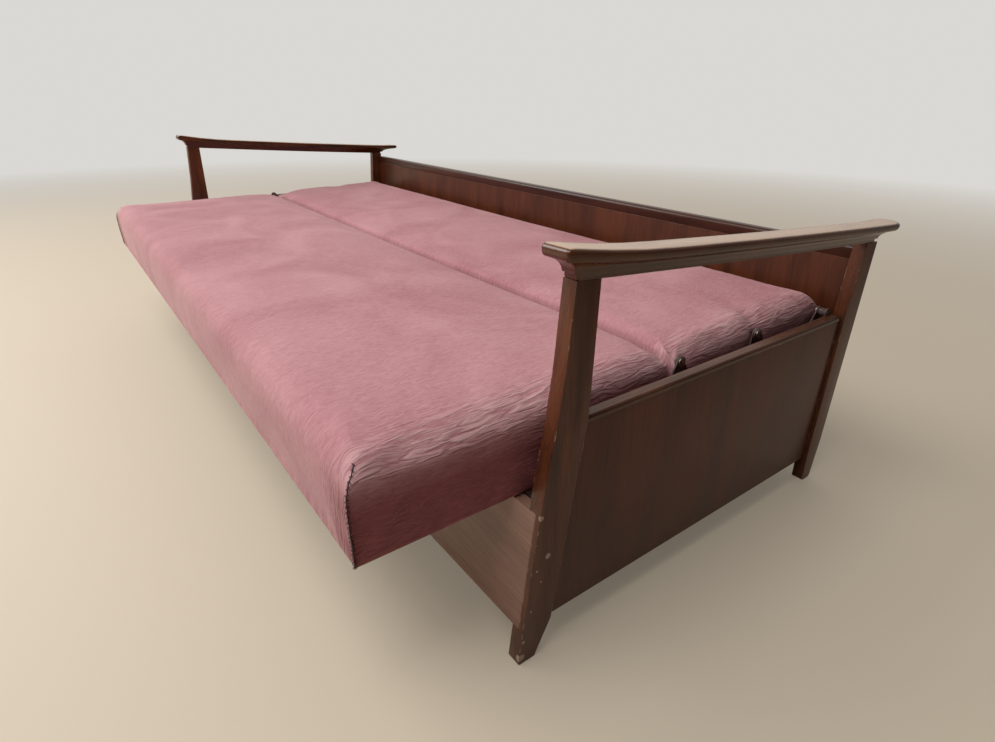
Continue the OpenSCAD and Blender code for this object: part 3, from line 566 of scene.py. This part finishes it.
def cover(node, south, north, foot, south_round, north_round, heel, room, sharp_south):
    """A drawn cover as one closed mesh: top, four sides, hem, and the frame's room below,
    given by its half length, front, rear and height. Returns it with its tacked points."""
    crown_reach = 0.24
    levels = 12
    turned = 0.004
    last_turn = 0.0012
    xs = grid_lines(-half_length, half_length, end_round, end_round)
    ys = grid_lines(south, north, south_round, north_round)
    nx, ny = len(xs), len(ys)
    middle, depth = (south + north) / 2, (north - south) / 2

    def bowed(x, y, z):
        """Draws a point of a side in, except halfway up, where the side swells most."""
        share = min(1, max(0, (z - foot) / (cushion_top - foot)))
        inset = side_swell * (1 - math.sin(math.pi * share))
        return (x * (half_length - inset) / half_length,
                middle + (y - middle) * (depth - inset) / depth, z)

    points, rim = [], {}
    for i, (x, _, cx) in enumerate(xs):
        for j, (y, _, cy) in enumerate(ys):
            side_round = south_round if y < middle else north_round
            wx, wy = 1 - cx, 1 - cy
            r = (end_round * wx + side_round * wy) / (wx + wy) if wx + wy > 0 else 0
            ex = min(1, max(0, half_length - end_round - abs(x)) / crown_reach)
            ey = min(1, max(0, min(y - south - south_round, north - north_round - y))
                     / crown_reach)
            bulge = crown * (1 - (1 - ex) ** 2) * (1 - (1 - ey) ** 2)
            rim[i, j] = cushion_top + bulge - r * (1 - cx * cy)
            points.append(bowed(x, y, rim[i, j]))
    around = ([(i, 0) for i in range(nx)] + [(nx - 1, j) for j in range(1, ny)]
              + [(i, ny - 1) for i in range(nx - 2, -1, -1)]
              + [(0, j) for j in range(ny - 2, 0, -1)])
    n = len(around)
    rings = [([i * ny + j for i, j in around], [rim[i, j] for i, j in around])]

    def hem(z, radius):
        """How far the cloth has turned under at a height, on its way below the frame."""
        drop = max(0, foot + radius - z)
        return radius - math.sqrt(max(0, radius * radius - drop * drop))

    for k in range(levels + 2):
        ids, heights = [], []
        for i, j in around:
            if k < levels:
                z = rim[i, j] + (foot + turned - rim[i, j]) * ((k + 1) / levels)
            else:
                z = foot + (last_turn if k == levels else 0)
            tucked = hem(z, turned)
            rear_tucked = hem(z, heel) if heel else tucked
            x = xs[i][0] * (half_length - tucked) / half_length
            width = north - south - tucked - rear_tucked
            y = south + tucked + (ys[j][0] - south) * width / (north - south)
            ids.append(len(points))
            heights.append(z)
            points.append(bowed(x, y, z))
        rings.append((ids, heights))
    tacked = len(points) - n
    room_half, room_front, room_rear, room_height = room

    def room_place(i, j):
        return (xs[i][0] * room_half / half_length,
                room_front + (ys[j][0] - south) * (room_rear - room_front) / (north - south))

    for z in (foot, foot + room_height):
        ids = []
        for i, j in around:
            ids.append(len(points))
            points.append((*room_place(i, j), z))
        rings.append((ids, [z] * n))
    face_up = ((0, 0), (1, 0), (1, 1), (0, 1))
    face_down = ((0, 0), (0, 1), (1, 1), (1, 0))
    faces, lays = [], []
    for i in range(nx - 1):
        for j in range(ny - 1):
            faces.append([(i + a) * ny + j + b for a, b in face_up])
            lays.append([(xs[i + a][1], ys[j + b][1]) for a, b in face_up])
    for upper, lower in zip(rings, rings[1:]):
        for p in range(n):
            q = (p + 1) % n
            faces.append([upper[0][p], lower[0][p], lower[0][q], upper[0][q]])
            on_end = around[p][0] == around[q][0]
            lay = []
            for ring, at in ((upper, p), (lower, p), (lower, q), (upper, q)):
                i, j = around[at]
                down = rim[i, j] - ring[1][at]
                if on_end:
                    lay.append((xs[i][1] + math.copysign(down, xs[i][0]), ys[j][1]))
                else:
                    lay.append((xs[i][1], ys[j][1] + math.copysign(down, ys[j][0] - middle)))
            lays.append(lay)
    # The foam over the frame closes the room below it.
    ceiling = dict(zip(around, rings[-1][0]))
    for i in range(1, nx - 1):
        for j in range(1, ny - 1):
            ceiling[i, j] = len(points)
            points.append((*room_place(i, j), foot + room_height))
    for i in range(nx - 1):
        for j in range(ny - 1):
            faces.append([ceiling[i + a, j + b] for a, b in face_down])
            lays.append([(xs[i + a][1], ys[j + b][1]) for a, b in face_down])
    mesh = bpy.data.meshes.new(node + "_cover")
    mesh.from_pydata(points, [], faces)
    cloth_lay = mesh.uv_layers.new(name="cloth_lay")
    cloth_lay.uv.foreach_set("vector", [c for lay in lays for pair in lay for c in pair])
    # The hem stays sharp when the mesh is made finer, and where asked the front corners too.
    sharp = mesh.attributes.new("crease_edge", "FLOAT", "EDGE")
    corner = {k for k, (i, j) in enumerate(around)
              if sharp_south and i in (0, nx - 1) and j == 0}
    upright = {ring[0][k] for ring in rings[:-2] for k in corner}
    for edge in mesh.edges:
        a, b = edge.vertices
        if a >= tacked or b >= tacked:
            sharp.data[edge.index].value = 1.0
        elif a in upright and b in upright:
            sharp.data[edge.index].value = 0.8
    pad = bpy.data.objects.new(node + "_cover", mesh)
    scene.collection.objects.link(pad)
    return pad, list(range(tacked - n, len(points)))


def inflate(pad, tacked, cap, frames=20):
    """Cloth simulation of the filling's pressure against the tacked-down cover, capped."""
    rest = [v.co.copy() for v in pad.data.vertices]
    pad.vertex_groups.new(name="tacked").add(tacked, 1.0, "REPLACE")
    filling = pad.modifiers.new("filling", "CLOTH")
    filling.settings.quality = 4
    filling.settings.mass = 0.25
    filling.settings.tension_stiffness = 12
    filling.settings.compression_stiffness = 12
    filling.settings.shear_stiffness = 6
    filling.settings.bending_stiffness = 0.6
    filling.settings.vertex_group_mass = "tacked"
    filling.settings.shrink_min = -0.012
    filling.settings.use_pressure = True
    filling.settings.uniform_pressure_force = 4.0
    filling.settings.effector_weights.gravity = 0.0
    filling.collision_settings.use_collision = False
    filling.collision_settings.use_self_collision = False
    filling.point_cache.frame_end = frames
    for step in range(1, frames + 1):
        scene.frame_set(step)
    swollen = [v.co.copy() for v in pad.evaluated_get(
        bpy.context.evaluated_depsgraph_get()).data.vertices]
    pad.modifiers.clear()
    pad.vertex_groups.clear()
    scene.frame_set(1)
    for vertex, old, new in zip(pad.data.vertices, rest, swollen):
        move = new - old
        if move.length > cap:
            move *= cap / move.length
        vertex.co = old + move


def keep_clear(pad, south, north, front_stop=-math.inf, rear_stop=math.inf):
    """Holds the pressed cloth clear of the linkage at the ends and of the other cushion."""
    end_stop = 0.9355
    bulge = 0.006
    for vertex in pad.data.vertices:
        vertex.co.x = max(-end_stop, min(end_stop, vertex.co.x))
        vertex.co.y = max(south - bulge, front_stop, min(north + bulge, rear_stop, vertex.co.y))


def hollow(distance, reach):
    return math.exp(-(distance / reach) ** 2)


def used(pad, south, north, foot, is_seat):
    """Years of use: shallow hollows on top, sunk corners at the seam between the cushions,
    and cloth that puckers beside the upright corners and over the ends."""
    seam_side = north if is_seat else south
    seam_sunk = 0.015 if is_seat else 0.021
    wave_height = 0.0042
    sitting_place, slump_depth = -0.40, 0.012
    full_place, far_fullness = -0.47, 0.011
    rear_rise, rear_reach = 0.011, 0.014
    dimple_in, dimple_down = 0.017, 0.015
    gather_height, tuck_height = 0.0011, 0.0009
    normals = [v.normal.copy() for v in pad.data.vertices]
    for vertex, normal in zip(pad.data.vertices, normals):
        x, y, z = vertex.co
        if z < foot + 0.012 and abs(normal.z) > 0.5 or normal.z < -0.3:
            continue
        end = half_length - abs(x)
        side = min(y - south, north - y)
        hem_keep = min(1.0, max(0.0, (z - foot - 0.004) / 0.03))
        up = max(0.0, normal.z)
        wave = noise.noise(Vector((x * 3.1, y * 4.3, 0.7))) * 0.6
        wave += noise.noise(Vector((x * 8.0, y * 10.0, 3.1))) * 0.28
        vertex.co.z += wave_height * wave * up * min(1, end / 0.05) * min(1, side / 0.05)
        # Sunk towards the seam's two ends, where the linkage pulls the frames together.
        sunk = seam_sunk * hollow(end, 0.055) * hollow(abs(y - seam_side), 0.05)
        vertex.co.z -= sunk * max(0.15, up) * hem_keep
        vertex.co.x -= math.copysign(0.25 * sunk * hem_keep, x)
        if is_seat:
            # People sit down here: the end slumps near the front.
            slump = hollow(end, 0.05) * hollow(y - sitting_place, 0.12)
            vertex.co.z -= slump_depth * slump * up
            if x < 0:
                # The far end is the fuller one.
                full = hollow(end, 0.03) * hollow(y - full_place, 0.1)
                vertex.co.x -= far_fullness * full * hem_keep
        else:
            # The rear stands fuller, and its upright corners are soft.
            vertex.co.z += rear_rise * min(1.0, max(0.0, (y - 0.05) / 0.3)) * hem_keep
            vertex.co.y += rear_reach * min(1.0, max(0.0, (y - 0.25) / 0.16)) * hem_keep
            bend = hollow(end, 0.04) * hollow(y - north, 0.045) * hem_keep
            vertex.co.x -= math.copysign(0.004 * bend, x)
            vertex.co.y -= 0.002 * bend
            # A dimple in each end, a little behind the middle pivot.
            tuck = hollow(y - dimple_place, 0.024) * hollow(end, 0.05) * hem_keep
            vertex.co.x -= math.copysign(dimple_in * tuck * (1 - 0.6 * up), x)
            vertex.co.z -= dimple_down * tuck * up
        # Gathers beside the upright corners: they lie across the end and fan out.
        gather = hollow(side, 0.11) * hollow(end, 0.03) * hem_keep
        fan = noise.noise(Vector((side * 14, (z - foot) * 95 + side * 30, x * 2)))
        shift = gather_height * fan * gather
        # Short tucks over the rounded top edge of the ends.
        pull = hollow(end - 0.012, 0.03) * up
        shift += tuck_height * noise.noise(Vector((x * 30, y * 62, 5.0))) * pull
        vertex.co += normal * shift


velour = rayon_velour()
seat_pad, seat_tacks = cover(
    "seat_cushion", seat_front, seat_rear, seat_foot, south_round=0.032, north_round=0.009,
    heel=0, sharp_south=True,
    room=(half_length - frame_in, seat_front + frame_in, seat_rear - frame_in,
          seat_frame_height))
back_pad, back_tacks = cover(
    "back_cushion", back_front, back_rear, back_foot, south_round=0.009, north_round=0.020,
    heel=0.038, sharp_south=False,
    room=(half_length - frame_in, back_front + frame_in, back_frame_rear, back_frame_height))
inflate(seat_pad, seat_tacks, cap=0.0055)
inflate(back_pad, back_tacks, cap=0.006)
keep_clear(seat_pad, seat_front, seat_rear, rear_stop=-0.0047)
keep_clear(back_pad, back_front, back_rear, front_stop=-0.0033)
for pad, node, body, south, north, foot in (
        (seat_pad, "seat_cushion", "seat", seat_front, seat_rear, seat_foot),
        (back_pad, "back_cushion", "back", back_front, back_rear, back_foot)):
    finer = pad.modifiers.new("finer", "SUBSURF")
    finer.levels = finer.render_levels = 1
    settle(pad, velour)
    pad.data.shade_smooth()
    used(pad, south, north, foot, is_seat=pad is seat_pad)
    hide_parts(node)
    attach(pad, body)


# Hand seams: the two sharp corners at the front of the seat are closed by hand with dark waxed
# thread, a wavy line of it in the fold and short oversewn loops across it.
thread_foot = 0.2485
thread_head = 0.371
level_height = 0.005
fold_step = 0.0015


def waxed_thread():
    thread, tree, shader = new_finish("waxed_linen_thread")
    place = add(tree, "ShaderNodeTexCoord").outputs["Object"]
    twist = add(tree, "ShaderNodeTexNoise", {"Vector": place, "Scale": 700.0,
                                             "Detail": 2.0}).outputs["Fac"]
    wire(tree, shader, {"Base Color": blend(tree, twist, linear("#1E0F0F"),
                                            linear("#43262A")), "Roughness": 0.7})
    return thread


waxed = waxed_thread()

oversewing = bpy.data.node_groups.new("oversewing", "GeometryNodeTree")
oversewing.interface.new_socket("Seam", in_out="INPUT", socket_type="NodeSocketGeometry")
oversewing.interface.new_socket("Sewn", in_out="OUTPUT", socket_type="NodeSocketGeometry")
for label, size in (("Stitch pitch", 0.0062), ("Loop radius", 0.0021),
                    ("Thread radius", 0.00042), ("Fold radius", 0.0008), ("Waviness", 0.0022)):
    socket = oversewing.interface.new_socket(label, in_out="INPUT",
                                             socket_type="NodeSocketFloat")
    socket.default_value = size
seam_in = add(oversewing, "NodeGroupInput")
path = add(oversewing, "GeometryNodeMeshToCurve", {"Mesh": seam_in.outputs["Seam"]})
fold = add(oversewing, "GeometryNodeResampleCurve", {
    "Curve": path.outputs[0], "Length": fold_step}, mode="LENGTH")
at = add(oversewing, "GeometryNodeInputPosition")
sway = add(oversewing, "ShaderNodeTexNoise", {"Vector": at.outputs[0], "Scale": 190.0,
                                              "Detail": 1.0})
centred = add(oversewing, "ShaderNodeVectorMath", {0: sway.outputs["Color"],
                                                   1: (0.5, 0.5, 0.5)}, operation="SUBTRACT")
swayed = add(oversewing, "ShaderNodeVectorMath", {0: centred.outputs[0],
                                                  "Scale": seam_in.outputs["Waviness"]},
             operation="SCALE")
wavy = add(oversewing, "GeometryNodeSetPosition", {"Geometry": fold.outputs[0],
                                                   "Offset": swayed.outputs[0]})
fold_round = add(oversewing, "GeometryNodeCurvePrimitiveCircle", {
    "Resolution": 5, "Radius": seam_in.outputs["Fold radius"]})
fold_line = add(oversewing, "GeometryNodeCurveToMesh", {
    "Curve": wavy.outputs[0], "Profile Curve": fold_round.outputs[0], "Fill Caps": True})
spaced = add(oversewing, "GeometryNodeResampleCurve", {
    "Curve": path.outputs[0], "Length": seam_in.outputs["Stitch pitch"]}, mode="LENGTH")
loop = add(oversewing, "GeometryNodeCurvePrimitiveCircle", {
    "Resolution": 12, "Radius": seam_in.outputs["Loop radius"]})
thread_round = add(oversewing, "GeometryNodeCurvePrimitiveCircle", {
    "Resolution": 5, "Radius": seam_in.outputs["Thread radius"]})
stitch = add(oversewing, "GeometryNodeCurveToMesh", {
    "Curve": loop.outputs[0], "Profile Curve": thread_round.outputs[0]})
heading = add(oversewing, "GeometryNodeInputTangent")
upright = add(oversewing, "FunctionNodeAlignRotationToVector", {
    "Vector": heading.outputs[0]}, axis="Z")
lean_by = add(oversewing, "FunctionNodeRandomValue", {
    0: (-0.5, -0.5, 0.0), 1: (0.5, 0.5, 3.14), "Seed": 7}, data_type="FLOAT_VECTOR")
leaning = add(oversewing, "FunctionNodeRotateRotation", {
    "Rotation": upright.outputs[0], "Rotate By": lean_by.outputs[0]}, rotation_space="LOCAL")
stitches = add(oversewing, "GeometryNodeInstanceOnPoints", {
    "Points": spaced.outputs[0], "Instance": stitch.outputs[0],
    "Rotation": leaning.outputs[0]})
together = add(oversewing, "GeometryNodeJoinGeometry")
oversewing.links.new(fold_line.outputs[0], together.inputs[0])
oversewing.links.new(stitches.outputs[0], together.inputs[0])
solid = add(oversewing, "GeometryNodeRealizeInstances", {"Geometry": together.outputs[0]})
dressed = add(oversewing, "GeometryNodeSetMaterial", {"Geometry": solid.outputs[0]})
dressed.inputs["Material"].default_value = waxed
add(oversewing, "NodeGroupOutput", {"Sewn": dressed.outputs[0]})

points, edges = [], []
for side in (-1, 1):
    # The thread lies on the cover's own outermost points, level by level.
    corner = {}
    for vertex in seat_pad.data.vertices:
        x, y, z = vertex.co
        at_corner = half_length - side * x < 0.03 and y - seat_front < 0.05
        if at_corner and thread_foot < z < thread_head:
            level = round((z - seat_foot) / level_height)
            if level not in corner or side * x - y > corner[level][0]:
                corner[level] = (side * x - y, vertex.co.copy())
    run = [corner[level][1] for level in sorted(corner)]
    first = len(points)
    points += [tuple(co) for co in run]
    edges += [(first + k, first + k + 1) for k in range(len(run) - 1)]
seam_mesh = bpy.data.meshes.new("seat_hand_seams")
seam_mesh.from_pydata(points, edges, [])
seams = bpy.data.objects.new("seat_hand_seams", seam_mesh)
scene.collection.objects.link(seams)
sewing = seams.modifiers.new("oversewing", "NODES")
sewing.node_group = oversewing
for item in oversewing.interface.items_tree:
    if item.in_out == "INPUT" and item.socket_type == "NodeSocketFloat":
        sewing[item.identifier] = item.default_value
settle(seams, waxed)
seams.data.shade_smooth()
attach(seams, "seat")
